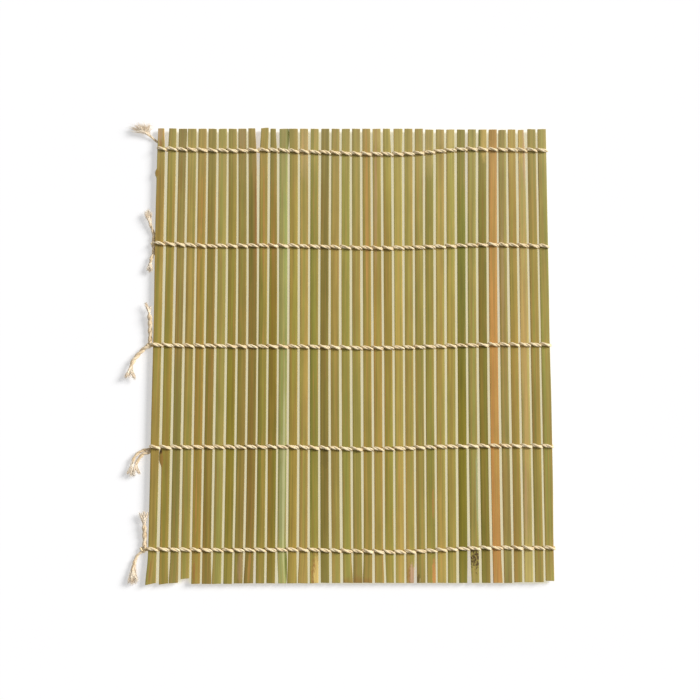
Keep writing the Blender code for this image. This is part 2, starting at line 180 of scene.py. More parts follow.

# ---- what time and the knife left on the slats, and painted shade at two narrow gaps ---
# slat, stain (along the edges of slats 13 and 38 it is painted shade), from its left edge,
# Y from the middle of the slats, half width, half length, strength, raggedness
MARKS = (
    (1, "pink", 1.0, 117, 1.5, 6, 0.5, 0.4),
    (1, "orange", 3.3, 117.5, 1.0, 6.5, 0.45, 0.4),
    (1, "rust", 1.6, 111.5, 1.0, 3, 0.5, 0.7),
    (1, "brown", 2.2, 78, 3.0, 32, 0.45, 0.5),
    (1, "brown", 0.0, 95.5, 0.9, 2.2, 0.7, 0.4),
    (1, "rust", 1.8, -114.5, 0.6, 7, 0.5, 0.5),
    (2, "bark", -0.5, -52.9, 0.9, 1.7, 0.95, 0.4),
    (2, "rust", 0.0, -57.5, 1.4, 4.2, 0.5, 0.5),
    (3, "brown", 1.6, 94, 0.8, 12, 0.4, 0.7),
    (5, "orange", 2.4, 72, 0.5, 26, 0.4, 0.6),
    (5, "orange", 1.8, -78, 0.5, 22, 0.3, 0.6),
    (5, "rust", 1.3, -114.5, 0.8, 6.5, 0.5, 0.6),
    (7, "green", 2.2, 118, 3.0, 9, 0.25, 0.5),
    (8, "leaf", 2.2, -50, 3.0, 55, 0.45, 0.4),
    (9, "pink", 2.0, 115, 2.6, 7, 0.2, 0.6),
    (9, "pink", 3.0, -112, 1.6, 9, 0.3, 0.6),
    (10, "rust", 4.0, 72, 0.5, 32, 0.6, 0.5),
    (10, "dark green", 1.2, 70, 1.2, 42, 0.4, 0.5),
    (10, "orange", 2.4, -112, 1.0, 9, 0.35, 0.6),
    (11, "dark green", 0.8, -20, 1.2, 95, 0.5, 0.4),
    (11, "orange", 2.4, 70, 0.8, 42, 0.45, 0.5),
    (12, "rust", 2.6, 20, 1.6, 90, 0.3, 0.5),
    (12, "brown", 1.2, -40, 1.4, 60, 0.4, 0.5),
    (12, "leaf", 2.2, -5, 3.0, 50, 0.28, 0.4),
    (13, "green", 0.3, 10, 0.9, 100, 0.4, 0.4),
    (13, "pale", 3.0, -66, 0.8, 62, 0.85, 0.3),
    (13, "pale", 1.8, -78, 1.2, 38, 0.4, 0.4),
    # Painted shade: dark green along slat 13's right edge, for the shadow in the narrow gap to slat 14.
    (13, "dark green", 4.8, 115, 0.6, 9, 0.95, 0.2),
    (13, "dark green", 4.6, -112, 0.9, 11, 0.95, 0.2),
    (15, "pink", 2.6, 108, 2.2, 20, 0.2, 0.6),
    (16, "dark green", 0.8, 0, 1.0, 110, 0.4, 0.4),
    (16, "rust", 3.3, -116, 2.6, 10.5, 0.7, 0.9),
    (16, "gold", 3.8, -116.5, 2.3, 11.5, 0.95, 0.8),
    (17, "bark", 2.2, -57, 2.6, 6, 0.2, 0.6),
    (19, "rust", 2.2, -120.5, 3.0, 3.5, 0.35, 0.6),
    (20, "rust", 2.2, -120.5, 3.0, 4.5, 0.4, 0.6),
    (21, "orange", 2.2, 70, 1.0, 50, 0.35, 0.5),
    (21, "rust", 2.2, -120.5, 3.0, 3.5, 0.35, 0.6),
    (22, "pink", 1.4, 80, 1.0, 40, 0.3, 0.6),
    (22, "straw", 2.2, 118, 3.0, 10, 0.25, 0.5),
    (25, "rust", 1.9, -117.5, 1.7, 7, 0.5, 0.9),
    (25, "pink", 2.9, -117, 1.4, 7.5, 0.85, 0.8),
    (26, "bark", 0.8, -118, 0.8, 2.5, 0.5, 0.8),
    (26, "straw", 1.6, -118.8, 0.5, 1.2, 0.7, 0.5),
    (27, "straw", 2.2, 112, 3.0, 22, 0.3, 0.5),
    (27, "orange", 3.4, -80, 0.8, 9, 0.45, 0.6),
    (27, "orange", 3.4, -116, 1.1, 9, 0.9, 0.5),
    (28, "straw", 2.2, 118, 3.0, 9, 0.3, 0.5),
    (29, "straw", 2.2, 118, 3.0, 12, 0.4, 0.5),
    (30, "dark green", 2.2, 30, 2.6, 70, 0.4, 0.4),
    (30, "leaf", 2.2, -58, 3.0, 72, 0.6, 0.4),
    (31, "cool", 3.9, -72, 0.8, 24, 0.7, 0.3),
    (31, "bark", 2.0, -107.9, 2.5, 4, 0.9, 3.0),
    (32, "dark green", 0.3, 112, 0.7, 14, 0.6, 0.3),
    (32, "gold", 2.9, 113, 1.9, 13, 0.85, 0.3),
    (33, "brown", 2.2, 118, 3.0, 9, 0.3, 0.5),
    (33, "rust", 2.2, -96, 3.0, 36, 0.16, 0.5),
    (34, "pink", 1.5, 40, 0.8, 40, 0.25, 0.6),
    (34, "rust", 2.2, -78, 3.0, 26, 0.24, 0.5),
    (36, "gold", 1.6, 112, 1.7, 13, 0.8, 0.6),
    (36, "pink", 3.2, 108, 1.2, 22, 0.5, 0.6),
    (36, "pink", 1.4, -80, 1.2, 20, 0.3, 0.6),
    (36, "brown", 2.2, -78, 3.0, 24, 0.2, 0.5),
    # Painted shade: a dark line along slat 38's left edge, for the shadow in the narrow gap to slat 37.
    (38, "bark", 0.0, 88, 0.3, 22, 0.7, 0.2),
)
# slat, side, Y from the middle of the slats, half length, how far it stands out
BUMPS = (
    (1, "left", 80, 42, 0.45), (1, "left", 95.5, 2, 0.75), (2, "left", -55.6, 4.2, 1.2),
    (13, "right", 115.5, 6.5, 0.7), (13, "right", -112.5, 9, 0.65),
    (38, "right", 60, 60, 0.2), (38, "right", -45, 40, 0.4),
)
# end, slat: how far its left and right edges stand out there, or draw in
FLARES = {
    "far": {1: (0, -0.6), 2: (-0.45, 0), 3: (0, 0.4), 4: (0.25, 0), 10: (0, -0.6), 11: (-0.7, 0.45),
            12: (0, -0.55), 14: (0.4, 0), 23: (0, -0.5), 24: (0, 0.5), 36: (0, -0.55)},
    "near": {1: (1.1, 0), 2: (0, 0.3), 3: (0.6, 0), 6: (0, 0.4), 7: (0.45, 0), 10: (0.55, 0),
             13: (-0.6, 0), 14: (0.4, 0.2), 15: (0.5, 0.2), 19: (0, 0.75), 20: (0.25, 0.3),
             21: (0.5, 0), 22: (0, 0.4), 23: (-0.4, 0), 25: (0, -0.5), 30: (0, -0.25),
             31: (-0.4, 0), 33: (0, 0.45)},
}
# end, slat: slant across the cut, raggedness
CUTS = {
    "far": {11: (0.3, 0.2)},
    "near": {1: (0.9, 0.08), 2: (0.6, 0.08), 3: (0.3, 0.1), 4: (0.4, 0.18), 16: (0.2, 0.12)},
}

# ---- the knots and their free ends -------------------
# They lie in their solids' room. Places are from the first slat's edge at the row:
# X, Y and the lift of the underside. A knot that is under lies beneath the slat.
# loose is the length over which an end comes undone before its tips, and fluff is
# how far its fibres stray there.
KNOTS = {
    1: {"centre": (1.8, 0.3), "size": (2.6, 2.6, 1.3), "under": True, "ends": (
        {"width": 1.1, "loose": 3.5, "fluff": 1.15,
         "route": ((1.6, 1, 0), (0.7, 3.2, 0), (-1, 4.7, 0), (-2.7, 6, 0),
                   (-4.4, 7.4, 0), (-6.4, 8.6, 0)),
         "tips": ((-5, 13.6), (-8.2, 13.8), (-11.6, 13.6), (-15.2, 12))},
        {"width": 1.3, "loose": 2, "fluff": 0.4,
         "route": ((1.8, -0.6, 0), (1.2, -3.6, 0), (0.9, -7.6, 0), (0.2, -10.4, 0)),
         "tips": ((-1.3, -12.6), (0.3, -13))})},
    2: {"centre": (-1.6, 0), "size": (2.4, 2.6, 2.6), "under": False, "ends": (
        {"width": 1.5, "loose": 7, "fluff": 0.65,
         "route": ((-1.6, 0.6, 0.7), (-1.3, 2.4, 0.5), (-1.4, 5.6, 0), (-2.5, 9, 0), (-3.6, 12, 0)),
         "tips": ((-2.7, 17), (-4.3, 18.5), (-5.9, 17.4))},
        {"width": 1.6, "loose": 3.5, "fluff": 0.4,
         "route": ((-1.6, -0.6, 0.7), (-1.1, -2.4, 0.5), (-1.2, -5, 0),
                   (-2.1, -7.8, 0), (-2.6, -10.4, 0)),
         "tips": ((-1.6, -14.9), (-2.9, -15.4), (-4.1, -14.6))})},
    3: {"centre": (-1.9, 0), "size": (3.6, 3.4, 2.7), "under": False, "ends": (
        {"width": 2.1, "loose": 3, "fluff": 0.4,
         "route": ((-1.7, 0.6, 0.7), (-1.6, 2.6, 0.5), (-1.8, 8, 0), (-1.9, 13, 0), (-2.4, 17, 0)),
         "tips": ((-1.8, 20.4), (-4.5, 22.6))},
        {"width": 2.1, "loose": 4, "fluff": 0.5,
         "route": ((-2.2, -0.2, 0.7), (-4.2, -1.4, 0.4), (-6.6, -3.8, 0),
                   (-9.2, -7, 0), (-10.6, -9.6, 0), (-11.4, -11.8, 0)),
         "tips": ((-14.1, -17.8), (-12.2, -17.2), (-9, -18.2))})},
    4: {"centre": (1.8, 0), "size": (2.6, 2.6, 1.3), "under": True, "ends": (
        {"width": 1.5, "loose": 3, "fluff": 0.5,
         "route": ((1.4, 0, 0), (-0.7, -0.9, 0), (-3.4, -1.3, 0), (-6.8, -3.2, 0),
                   (-8.6, -5.8, 0), (-9.1, -8.4, 0)),
         "tips": ((-11.7, -13.9), (-9.9, -15))},
        {"width": 1.5, "loose": 3, "fluff": 0.5,
         "route": ((1.8, -0.7, 0), (-0.6, -2.45, 0), (-3.2, -3, 0), (-4.9, -4.4, 0),
                   (-6.2, -6.4, 0), (-7.5, -9, 0)),
         "tips": ((-8.5, -15), (-5.6, -13.9))})},
    5: {"centre": (-2.4, -0.1), "size": (4.4, 3.6, 2.8), "under": False, "ends": (
        {"width": 2.1, "loose": 4, "fluff": 0.5,
         "route": ((-2, 0.6, 0.9), (-2, 3, 0.4), (-2.1, 8, 0), (-2.4, 13, 0)),
         "tips": ((-0.4, 18.8), (-2.6, 19.3), (-4.8, 18.4))},
        {"width": 1.4, "loose": 9, "fluff": 0.6,
         "route": ((-2.8, -0.8, 0.7), (-5, -2.5, 0.3), (-6.4, -4.5, 0), (-7.3, -7.6, 0), (-7.7, -11, 0)),
         "tips": ((-9.8, -17), (-8.1, -17.8), (-6.5, -17.6), (-5, -16.6))})},
}

# ---- camera, light and floor -------------------------
CAMERA_DISTANCE = 736.0
CAMERA_ELEVATION = 81.0
CAMERA_AIM_SHIFT = (-0.8, 0.0)  # from the middle of the slats' upper sides
LENS, SENSOR = 72.46, 36.0
CLIP_START = 10.0
SUN_FROM = (1.15, 0.5, 0.8)
SUN_STRENGTH = 3.95
SUN_ANGLE = 26.0
SUN_COLOUR = (1.0, 0.985, 0.96)
SKY_STRENGTH = 0.35
SKY_COLOUR = (0.985, 0.99, 1.0, 1.0)
FLOOR_SIZE = 40000.0
FLOOR_DROP = 0.02  # keeps it off the undersides that rest on it
FLOOR_GLOW = (0.42, 0.42, 0.42)
GLOW_UNDER_MAT = (0.47, 0.455, 0.33)
GLOW_INSETS = (3.0, -0.9)  # from the slats' outline inwards to its edge, in X and Y
GLOW_EDGE = 1.5  # the width of that soft edge
PLAIN_GLOW = (0.44, 0.42, 0.4)
PLAIN_REACH = 3.0  # from the middle of a wide gap
# Wide gaps, and the room that slat 4's short end leaves, let plainer light through:
# the slats on both sides, Y from the middle of the slats, half length, strength.
PLAIN_GAPS = (
    (1, 2, 117, 16, 0.7), (2, 3, 40, 24, 0.45), (3, 5, -121, 5, 1.0),
    (10, 11, 117, 26, 1.0), (10, 11, -115, 12, 0.5), (12, 13, 119, 12, 0.8),
    (25, 26, -118, 10, 0.8), (30, 31, 105, 34, 0.5), (30, 31, -115, 22, 0.9),
    (32, 33, -117, 12, 0.7), (33, 34, 34, 34, 0.4),
)


def linear(srgb, gain=1.0):
    """A colour's sRGB channels, 0 to 255, as a linear colour with alpha."""
    channels = []
    for value in srgb:
        c = value / 255
        channels.append(gain * (c / 12.92 if c <= 0.04045 else ((c + 0.055) / 1.055) ** 2.4))
    return (*channels, 1.0)


def tinted(colour, cast):
    """A linear colour with each channel multiplied by its own factor."""
    return (*(c * factor for c, factor in zip(colour, cast)), 1.0)


# ---- nodes -------------------------------------------
class Nodes:
    """A material and short calls that add its nodes and join them."""

    def __init__(self, name):
        self.material = bpy.data.materials.new(name)
        self.material.use_nodes = True
        self.tree = self.material.node_tree
        self.shader = self.tree.nodes["Principled BSDF"]

    def feed(self, socket, value):
        if isinstance(value, bpy.types.NodeSocket):
            self.tree.links.new(value, socket)
        else:
            socket.default_value = value

    def add(self, kind, inputs=(), output=0, **settings):
        """A node's output; inputs are (socket, number or other output) pairs."""
        node = self.tree.nodes.new("ShaderNode" + kind)
        for key, value in settings.items():
            setattr(node, key, value)
        for socket, value in inputs:
            self.feed(node.inputs[socket], value)
        return node.outputs[output]

    def set(self, **values):
        """Feeds the shader; underscores in a socket's name stand for spaces."""
        for key, value in values.items():
            self.feed(self.shader.inputs[key.replace("_", " ")], value)

    def math(self, operation, a, b):
        return self.add("Math", ((0, a), (1, b)), operation=operation)

    def mix(self, share, first, second, blend="MIX"):
        return self.add("Mix", ((0, share), (6, first), (7, second)), output=2,
                        data_type="RGBA", blend_type=blend)

    def remap(self, value, low, high, to_low=0.0, to_high=1.0, kind="SMOOTHSTEP"):
        return self.add("MapRange", ((0, value), (1, low), (2, high), (3, to_low),
                                     (4, to_high)), interpolation_type=kind)

    def ramp(self, value, stops):
        """A level from 0 to 1, straight between (place, level) stops along a value."""
        output = self.add("ValToRGB", ((0, value),))
        elements = output.node.color_ramp.elements
        for index, (place, level) in enumerate(stops):
            stop = elements[index] if index < 2 else elements.new(place)
            stop.position = place
            stop.color = (level, level, level, 1.0)
        return output

    def lay(self):
        return self.add("UVMap", uv_map=LAY)

    def away(self, vector, centre, halves):
        """How far a place is from the middle of an ellipse, in its own radii."""
        (x, y), (half_x, half_y) = centre, halves
        place = self.add("Mapping", (("Vector", vector), ("Scale", (1 / half_x, 1 / half_y, 1)),
                                     ("Location", (-x / half_x, -y / half_y, 0))))
        return self.add("VectorMath", ((0, place),), output=1, operation="LENGTH")

    def grain(self, across, along, seed, detail=2.0, rough=0.5):
        """Noise with features of a size, in millimetres, across and along the grain."""
        place = self.add("Mapping", (("Vector", self.lay()), ("Scale", (1 / across, 1 / along, 1)),
                                     ("Location", (seed * 7.3, seed * 3.1, seed * 1.7))))
        return self.add("TexNoise", (("Vector", place), ("Scale", 1.0), ("Detail", detail),
                                     ("Roughness", rough)), noise_dimensions="3D")

    def speckle(self, size):
        """Noise in all directions with features of a size in millimetres."""
        place = self.add("TexCoord", output=3)
        return self.add("TexNoise", (("Vector", place), ("Scale", 1 / (size * MM)),
                                     ("Detail", 2.0)), noise_dimensions="3D")

    def bump(self, height, distance, strength):
        return self.add("Bump", (("Height", height), ("Distance", distance * MM),
                                 ("Strength", strength)))


# ---- materials ---------------------------------------
def skin_material(number, slot):
    """The green side of one slat, with its own tone, stripes and stains, and on slats 13 and 38 painted
    shade at an edge.
    """
    body, far, near, cast = LOOKS.get(number, PLAIN_LOOK).split()
    tone = tinted(linear(TONES[slot.removeprefix("bamboo_")]), CASTS[cast])
    n = Nodes(f"skin_{number:02d}")
    low, high = (y - MAT_Y for y in slat_ends(number))
    share = n.remap(n.add("SeparateXYZ", ((0, n.lay()),), output=1), low, high, kind="LINEAR")

    stripes = n.grain(1.3, 90, number + 0.3, detail=1.0)
    hues = n.grain(1.2, 110, number + 40.6, detail=1.0)
    fibres = n.grain(0.28, 26, number + 80.9, detail=3.0, rough=0.65)
    clouds = n.grain(5.0, 16, number + 120.2)
    streaks = n.grain(0.8, 30, number + 160.7)

    colour = n.mix(n.remap(hues, 0.38, 0.62), tinted(tone, GREENER), tinted(tone, BROWNER))
    colour = n.mix(n.remap(streaks, 0.56, 0.74, 0.0, 0.35), colour, linear(STAINS_AND_PAINTED_SHADE["orange"], 0.8))
    pale = n.ramp(share, [(place, paleness) for place, _, paleness in ALONG])
    colour = n.mix(pale, colour, linear(STAINS_AND_PAINTED_SHADE["dry"], 0.72))
    for index, mark in enumerate(m for m in MARKS if m[0] == number):
        colour = stain_and_shade_patch(n, colour, mark, index)

    # A ramp's levels end at 1, so the lightness passes through it halved.
    ends = {0.0: ENDS[near], 1.0: ENDS[far]}
    halves = [(place, 0.5 * light * SHADES[body] * ends.get(place, 1.0)) for place, light, _ in ALONG]
    light = n.math("MULTIPLY", n.ramp(share, halves), 2.0)
    for level in (n.remap(stripes, 0.3, 0.7, 0.88, 1.1), n.remap(fibres, 0.25, 0.75, 0.88, 1.12),
                  n.remap(clouds, 0.25, 0.75, 0.95, 1.05)):
        light = n.math("MULTIPLY", light, level)
    shade = n.add("CombineXYZ", ((0, light), (1, light), (2, light)))
    colour = n.mix(1.0, colour, shade, blend="MULTIPLY")

    n.set(Base_Color=colour, Specular_IOR_Level=0.25,
          Roughness=n.remap(fibres, 0.2, 0.8, 0.5, 0.68),
          Normal=n.bump(n.math("ADD", fibres, n.math("MULTIPLY", stripes, 0.8)), 0.06, 0.7))
    return n.material


def stain_and_shade_patch(n, colour, mark, index):
    """A colour with one soft, ragged patch laid over it: a stain, and for the marks at the edges of
    slats 13 and 38 painted shade.
    """
    number, stain_and_shade, across, y, half_width, half_length, strength, ragged = mark
    away = n.away(n.lay(), (across, y), (half_width, half_length))
    torn = n.grain(0.7, max(1.2, half_length / 6), number + 11 * index, detail=3.0)
    away = n.math("ADD", away, n.math("MULTIPLY", n.math("SUBTRACT", torn, 0.5), 2 * ragged))
    mask = n.math("MULTIPLY", n.remap(away, 1.15, 0.5), strength)
    return n.mix(mask, colour, linear(STAINS_AND_PAINTED_SHADE[stain_and_shade]))


def wood_material():
    """The pale inside of the bamboo, on a slat's sides and underside."""
    n = Nodes("bamboo_wood")
    fibres = n.grain(0.16, 14, 3.0, detail=3.0, rough=0.6)
    streaks = n.grain(0.7, 40, 9.0)
    colour = n.mix(n.remap(streaks, 0.3, 0.7), linear(WOOD), linear(WOOD, 0.86))
    colour = n.mix(n.remap(fibres, 0.55, 0.75, 0.0, 0.35), colour, linear(WOOD_FIBRE))
    n.set(Base_Color=colour, Roughness=0.8, Specular_IOR_Level=0.25,
          Normal=n.bump(fibres, 0.08, 0.7))
    return n.material


def cut_material():
    """The sawn ends: pale, with the dark pores of the fibre bundles."""
    n = Nodes("bamboo_cut")
    place = n.add("TexCoord", output=3)
    flat = n.add("Mapping", (("Vector", place), ("Scale", (1.0, 0.0, 1.0))))
    pores = n.add("TexVoronoi", (("Vector", flat), ("Scale", 1 / (0.42 * MM))),
                  feature="F1", voronoi_dimensions="3D")
    cloud = n.speckle(1.2)
    colour = n.mix(n.remap(cloud, 0.3, 0.7), linear(CUT), linear(CUT, 0.82))
    colour = n.mix(n.remap(pores, 0.34, 0.14, 0.0, 0.6), colour, linear(PORE))
    n.set(Base_Color=colour, Roughness=0.85, Specular_IOR_Level=0.2,
          Normal=n.bump(n.math("ADD", pores, cloud), 0.08, 0.6))
    return n.material


def cotton_material(name, main, deep, hair):
    """Soft cotton: fine hairs twisted along each ply, a little uneven in colour."""
    n = Nodes(name)
    hairs = n.grain(0.09, 1.6, 2.0, detail=3.0, rough=0.6)
    clumps = n.grain(0.35, 2.6, 8.0)
    cloud = n.speckle(3.5)
    colour = n.mix(n.remap(cloud, 0.35, 0.65), linear(main), linear(deep))
    colour = n.mix(n.remap(hairs, 0.56, 0.72, 0.0, 0.25), colour, linear(hair))
    n.set(Base_Color=colour, Roughness=0.92, Specular_IOR_Level=0.15, Sheen_Weight=0.25,
          Sheen_Roughness=0.5,
          Normal=n.bump(n.math("ADD", hairs, n.math("MULTIPLY", clumps, 1.5)), 0.09, 0.9))
    return n.material


def floor_material(middle_x, half_width, half_length):
    """A white sheet lit from below, with a warmer glow under the mat."""
    n = Nodes("floor")
    cloud = n.speckle(60.0)
    spot = n.add("TexCoord", output=3)
    place = n.add("VectorMath", ((0, spot),), operation="ABSOLUTE")
    inside = 1.0
    for axis, half in enumerate((half_width, half_length)):
        away = n.add("SeparateXYZ", ((0, place),), output=axis)
        edge = (half - GLOW_INSETS[axis]) * MM
        inside = n.math("MULTIPLY", n.remap(away, edge, edge - GLOW_EDGE * MM), inside)
    under = (*GLOW_UNDER_MAT, 1.0)
    for before, after, y, half, strength in PLAIN_GAPS:
        x = middle_between(before, after, MAT_Y + y) - middle_x
        away = n.away(spot, (x * MM, y * MM), (PLAIN_REACH * MM, half * MM))
        under = n.mix(n.remap(away, 1.0, 0.4, 0.0, strength), under, (*PLAIN_GLOW, 1.0))
    glow = n.mix(inside, (*FLOOR_GLOW, 1.0), under)
    n.set(Base_Color=n.mix(cloud, linear(FLOOR), linear(FLOOR, 0.985)), Roughness=0.95,
          Specular_IOR_Level=0.0, Emission_Color=glow, Emission_Strength=1.0)
    return n.material


# ---- meshes ------------------------------------------
class Shape:
    """Corners, faces and lay of a mesh, gathered from several parts."""

    def __init__(self):
        self.points, self.faces, self.uvs, self.kinds = [], [], [], []
        self.count = 0

    def add(self, points, faces, uvs, kinds=0):
        """points (n, 3); faces (m, corners); uvs (m, corners, 2); kinds one or m."""
        self.points.append(np.asarray(points, float).reshape(-1, 3))
        faces = np.asarray(faces)
        self.faces.append(faces + self.count)
        self.uvs.append(np.asarray(uvs, float).reshape(-1, 2))
        self.kinds.append(np.broadcast_to(kinds, len(faces)))
        self.count += len(self.points[-1])

    def sweep(self, lines, radii, sides, up, kind):
        """Round tubes along lines (tubes, stations, 3), closed at both ends."""
        lines, radii = np.asarray(lines, float), np.asarray(radii, float)
        tubes, stations, _ = lines.shape
        ahead, side = directions(lines, up)
        other = np.cross(ahead, side)
        angles = np.arange(sides) * 2 * math.pi / sides
        ring = (np.cos(angles)[:, None] * side[:, :, None] + np.sin(angles)[:, None]
                * other[:, :, None])
        rings = lines[:, :, None] + ring * radii[:, :, None, None]
        index = np.arange(tubes * stations * sides).reshape(tubes, stations, sides)
        following = np.roll(index, -1, axis=2)
        quads = np.stack((index[:, :-1], index[:, 1:], following[:, 1:], following[:, :-1]),
                         axis=-1)
        steps = np.linalg.norm(np.diff(lines, axis=1), axis=2)
        along = np.concatenate((np.zeros((tubes, 1)), np.cumsum(steps, axis=1)), axis=1)
        along += np.arange(tubes)[:, None] * TUBE_SHIFT
        around = np.arange(sides + 1) * 2 * math.pi * float(radii.max()) / sides
        u, v = (around[:-1], around[1:]), (along[:, :-1, None], along[:, 1:, None])
        uvs = np.stack([np.stack(np.broadcast_arrays(u[i], v[j]), axis=-1)
                        for i, j in ((0, 0), (0, 1), (1, 1), (1, 0))], axis=-2)
        self.add(rings, quads.reshape(-1, 4), uvs, kind)
        first = self.count - tubes * stations * sides
        for end, turn in ((0, 1), (stations - 1, -1)):
            caps = index[:, end, ::turn] + first
            flat = np.zeros((tubes, sides, 2))
            self.faces.append(caps)
            self.uvs.append(flat.reshape(-1, 2))
            self.kinds.append(np.broadcast_to(kind, tubes))

    def make(self, name, materials, crease=None):
        """The finished object, in metres."""
        faces = [face for block in self.faces for face in block.tolist()]
        mesh = bpy.data.meshes.new(name)
        mesh.from_pydata((np.concatenate(self.points) * MM).tolist(), [], faces)
        lay = mesh.uv_layers.new(name=LAY)
        lay.data.foreach_set("uv", np.concatenate(self.uvs).astype(np.float32).ravel())
        for material in materials:
            mesh.materials.append(material)
        mesh.polygons.foreach_set("material_index",
                                  np.concatenate(self.kinds).astype(np.int32))
        mesh.shade_smooth()
        if crease is not None:
            mesh.set_sharp_from_angle(angle=math.radians(crease))
        return placed(name, mesh)


def placed(name, data):
    """A new object in the scene."""
    thing = bpy.data.objects.new(name, data)
    bpy.context.scene.collection.objects.link(thing)
    return thing


def unit(vectors):
    return vectors / np.maximum(np.linalg.norm(vectors, axis=-1, keepdims=True), 1e-9)


def directions(lines, up):
    """Along each line, and square to it on the side that an up vector gives."""
    ahead = unit(np.gradient(lines, axis=-2))
    up = np.broadcast_to(np.asarray(up, float), lines.shape)
    side = unit(up - np.sum(up * ahead, axis=-1, keepdims=True) * ahead)
    return ahead, side


def between(t, start, stop, first, last):
    """A value between two others, as t goes from a start to a stop."""
    return (stop - t) / (stop - start) * first + (t - start) / (stop - start) * last


def smooth_line(points, step):
    """Points a step apart on the smooth curve through a line's own points."""
    points = np.asarray(points, float)
    padded = np.concatenate((2 * points[:1] - points[1:2], points,
                             2 * points[-1:] - points[-2:-1]))
    knots = np.concatenate(((0.0,), np.cumsum(
        np.linalg.norm(np.diff(padded, axis=0), axis=1) ** 0.5)))
    fine = []
    for i in range(1, len(padded) - 2):
        t0, t1, t2, t3 = knots[i - 1:i + 3]
        p0, p1, p2, p3 = padded[i - 1:i + 3]
        t = np.linspace(t1, t2, CURVE_STEPS, endpoint=False)[:, None]
        a = between(t, t0, t1, p0, p1)
        b = between(t, t1, t2, p1, p2)
        c = between(t, t2, t3, p2, p3)
        fine.append(between(t, t1, t2, between(t, t0, t2, a, b), between(t, t1, t3, b, c)))
    fine = np.concatenate(fine + [points[-1:]])
    reach = length_along(fine)
    places = np.linspace(0, reach[-1], max(int(reach[-1] / step), 3) + 1)
    return np.stack([np.interp(places, reach, fine[:, axis]) for axis in range(3)], axis=1)


def length_along(line):
    return np.concatenate(((0.0,), np.cumsum(np.linalg.norm(np.diff(line, axis=0), axis=1))))


def wander(places, scale, random):
    """A smooth random value from -1 to 1 along a line, changing over a scale."""
    low, high = float(np.min(places)), float(np.max(places))
    count = max(int((high - low) / scale), 2) + 4
    values = random.uniform(-1, 1, count)
    where = (np.asarray(places) - low) / scale
    index = where.astype(int)
    t = where - index
    t = t * t * (3 - 2 * t)
    return values[index] * (1 - t) + values[index + 1] * t


def dressed(piece, node):
    """Puts a piece in its CAD node's place, on its body, and hides the node."""
    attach(piece, "root")
    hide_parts(node)


# ---- slats -------------------------------------------
def outline(number):
    """(Y, left X, right X) at each section of a slat's node, from the near end."""
    sections = {}
    for v in frame["nodes"][f"slat_{number:02d}"].data.vertices:
        sections.setdefault(round(v.co.y / MM, 2), []).append(v.co.x / MM)
    return np.array([(y, min(xs), max(xs)) for y, xs in sorted(sections.items())])


def slat_box(number):
    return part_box(f"slat_{number:02d}")


def slat_ends(number):
    low, high = slat_box(number)
    return low.y / MM, high.y / MM


def slat_edges(number, y):
    """X of a slat's edges at Y, on smooth curves through its node's sections."""
    sections = OUTLINES[number]
    ys = sections[:, 0]
    middle, half = (ys[0] + ys[-1]) / 2, (ys[-1] - ys[0]) / 2
    degree = len(ys) - 1
    return [np.polyval(np.polyfit((ys - middle) / half, sections[:, side], degree),
                       (np.asarray(y) - middle) / half) for side in (1, 2)]


def middle_between(before, after, y):
    """X half way between two slats at Y."""
    return float(slat_edges(before, y)[1] + slat_edges(after, y)[0]) / 2


def profile():
    """The section of a slat, round from under its left side.

    Each row is (share, shift, Z): the share of the width, 0 or 1 on the sides, and
    how far to the right of that place the point is.
    """
    low, high = slat_box(MIDDLE_SLAT)
    bottom, brim = low.z / MM, high.z / MM - CROWN
    quarter = [math.pi / 2 * step / CORNER_STEPS for step in range(CORNER_STEPS + 1)]
    left = [(0, BOTTOM_RADIUS * (1 - math.sin(angle)), bottom + BOTTOM_RADIUS * (1 - math.cos(angle)))
            for angle in quarter]
    left.append((0, 0.0, brim - SKIN_DEPTH))
    left += [(0, TOP_RADIUS * (1 - math.cos(angle)), brim - TOP_RADIUS * (1 - math.sin(angle)))
             for angle in quarter]
    right = [(1, -inset, z) for _, inset, z in reversed(left)]
    skin = [(share, 0.0, brim + CROWN * (1 - ((share - 0.5) / 0.5) ** 2))
            for share in SKIN_SHARES]
    return left + skin + right


def slat_sections(number):
    """Y of a slat's sections, closer together near its ends and bumps."""
    near, far = slat_ends(number)
    count = int((far - near) / STATION_STEP)
    places = set(np.linspace(near + END_MARGIN, far - END_MARGIN, count).round(3))
    places |= {near + FINE_STEP, far - FINE_STEP}
    for slat, _, y, half, _ in BUMPS:
        if slat == number:
            reach = 1.5 * half + 1
            step = max(FINE_STEP, half / BUMP_STEPS)
            places |= set(np.arange(MAT_Y + y - reach, MAT_Y + y + reach, step).round(3))
    return np.array(sorted(p for p in places if near + 0.3 < p < far - 0.3))


def edge_stray(ys, random):
    """How far an edge strays into its own slat, in long waves and short ones."""
    return EDGE_WANDER * (0.5 + 0.35 * wander(ys, 22, random) + 0.15 * wander(ys, 5, random))


def slat_sides(number, ys, random):
    """X of a slat's left edge without its bumps, and of its left and right with them."""
    left, right = slat_edges(number, ys)
    left = left + edge_stray(ys, random)
    right = right - edge_stray(ys, random)
    for end, tip in zip(("near", "far"), slat_ends(number)):
        out_left, out_right = FLARES[end].get(number, (0, 0))
        nearness = np.exp(-((ys - tip) / FLARE_REACH) ** 2)
        left, right = left - out_left * nearness, right + out_right * nearness
    straight = left
    for slat, side, y, half, out in BUMPS:
        if slat == number:
            swell = out * np.exp(-((ys - MAT_Y - y) / half) ** 4)
            if side == "left":
                left = left - swell
            else:
                right = right + swell
    return straight, left, right


